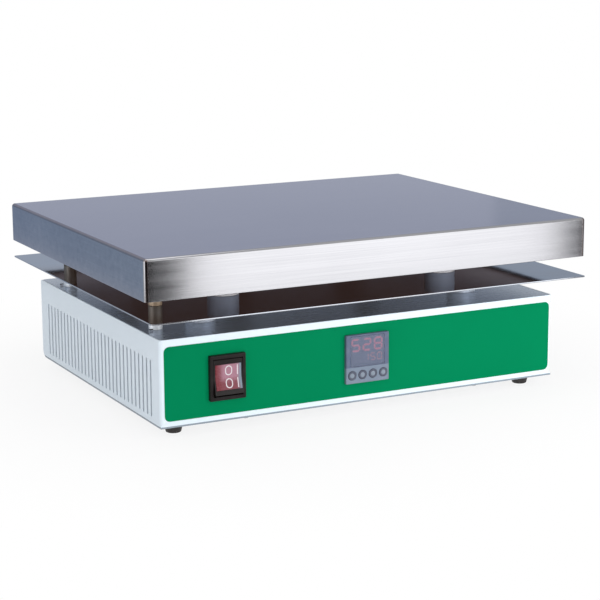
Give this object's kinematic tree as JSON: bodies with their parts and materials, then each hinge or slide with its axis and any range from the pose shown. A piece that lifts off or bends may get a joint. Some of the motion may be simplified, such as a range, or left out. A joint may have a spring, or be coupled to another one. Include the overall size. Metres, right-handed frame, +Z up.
{
  "type": "hot plate",
  "caption": "Laboratory hot plate: a square-edged steel heating plate above a heat shield, on a sheet-metal base with a rocker switch and a digital temperature controller.",
  "frame": {"origin": "on the ground below the middle of the heating plate", "axes": "+X to the right seen from the front, -Y out of the labelled front, +Z up"},
  "size_m": [0.45, 0.363, 0.1655],
  "materials": {
    "plate_steel": "fine brushed",
    "sheet_steel": "bright rolled",
    "white_paint": "textured powder coat",
    "label_green": "satin film",
    "sleeve_steel": "heat tinted",
    "drum_steel": "turned",
    "zinc_steel": "zinc plated",
    "black_steel": "black oxide",
    "slab_aluminium": "milled",
    "element_steel": "oxidised sheath",
    "probe_steel": "polished",
    "board_fibre": "matte calcium silicate",
    "foot_rubber": "matte",
    "black_plastic": "satin",
    "lens_red": "translucent, lit",
    "controller_grey": "satin moulded",
    "window_smoke": "smoked clear",
    "key_grey": "silicone",
    "board_green": "circuit board",
    "module_grey": "moulded",
    "block_white": "moulded",
    "contact_brass": "plated",
    "wire_red": "silicone sleeve",
    "wire_brown": "insulation",
    "wire_earth": "insulation",
    "wire_grey": "insulation"
  },
  "bodies": {
    "hot_plate": {"plate_cover": "plate_steel", "heat_shield": "sheet_steel", "casing_top": "sheet_steel", "head_tray": "sheet_steel", "casing_shell": "white_paint", "floor_pan": "white_paint", "front_label": "label_green", "upper_sleeves": "sleeve_steel", "upper_drums": "sleeve_steel", "lower_sleeves": "drum_steel", "lower_drums": "drum_steel", "wire_duct": "drum_steel", "corner_studs": "zinc_steel", "stud_nuts": "zinc_steel", "drum_screws": "zinc_steel", "tray_screws": "zinc_steel", "clamp_screws": "zinc_steel", "clamp_bars": "zinc_steel", "floor_screws": "zinc_steel", "foot_screws": "zinc_steel", "earth_stud": "zinc_steel", "inlet_screws": "zinc_steel", "casing_top_screws": "black_steel", "spreader_plate": "slab_aluminium", "relay_heat_sink": "slab_aluminium", "probe_clip": "slab_aluminium", "heating_elements": "element_steel", "element_links": "element_steel", "temperature_probe": "probe_steel", "insulation_board": "board_fibre", "foot_front_left": "foot_rubber", "foot_front_right": "foot_rubber", "foot_rear_left": "foot_rubber", "foot_rear_right": "foot_rubber", "switch_housing": "black_plastic", "mains_inlet": "black_plastic", "fuse_holder": "black_plastic", "solid_state_relay": "black_plastic", "controller_bezel": "controller_grey", "controller_housing": "controller_grey", "controller_terminals": "controller_grey", "controller_window": "window_smoke", "display_board": "board_green", "control_board": "board_green", "display_modules": "module_grey", "terminal_block": "block_white", "switch_tabs": "contact_brass", "inlet_contacts": "contact_brass", "heater_wires": "wire_red", "relay_wires": "wire_red", "mains_wires": "wire_brown", "earth_wire": "wire_earth", "probe_wire": "wire_grey"},
    "rocker": {"switch_rocker": "black_plastic", "switch_lens": "lens_red"},
    "key_one": {"controller_key_1": "key_grey"},
    "key_two": {"controller_key_2": "key_grey"},
    "key_three": {"controller_key_3": "key_grey"},
    "key_four": {"controller_key_4": "key_grey"}
  },
  "joints": [
    {"name": "power_rocker", "type": "hinge", "parent": "hot_plate", "child": "rocker", "pos_m": [-0.1411, -0.15363, 0.0502], "axis": [1, 0, 0], "range_deg": [0, 14]},
    {"name": "press_key_one", "type": "slide", "parent": "hot_plate", "child": "key_one", "axis": [0, 1, 0], "range_m": [0, 0.0006], "stiffness_N_per_m": 500, "springref_m": -0.0006},
    {"name": "press_key_two", "type": "slide", "parent": "hot_plate", "child": "key_two", "axis": [0, 1, 0], "range_m": [0, 0.0006], "stiffness_N_per_m": 500, "springref_m": -0.0006},
    {"name": "press_key_three", "type": "slide", "parent": "hot_plate", "child": "key_three", "axis": [0, 1, 0], "range_m": [0, 0.0006], "stiffness_N_per_m": 500, "springref_m": -0.0006},
    {"name": "press_key_four", "type": "slide", "parent": "hot_plate", "child": "key_four", "axis": [0, 1, 0], "range_m": [0, 0.0006], "stiffness_N_per_m": 500, "springref_m": -0.0006}
  ]
}
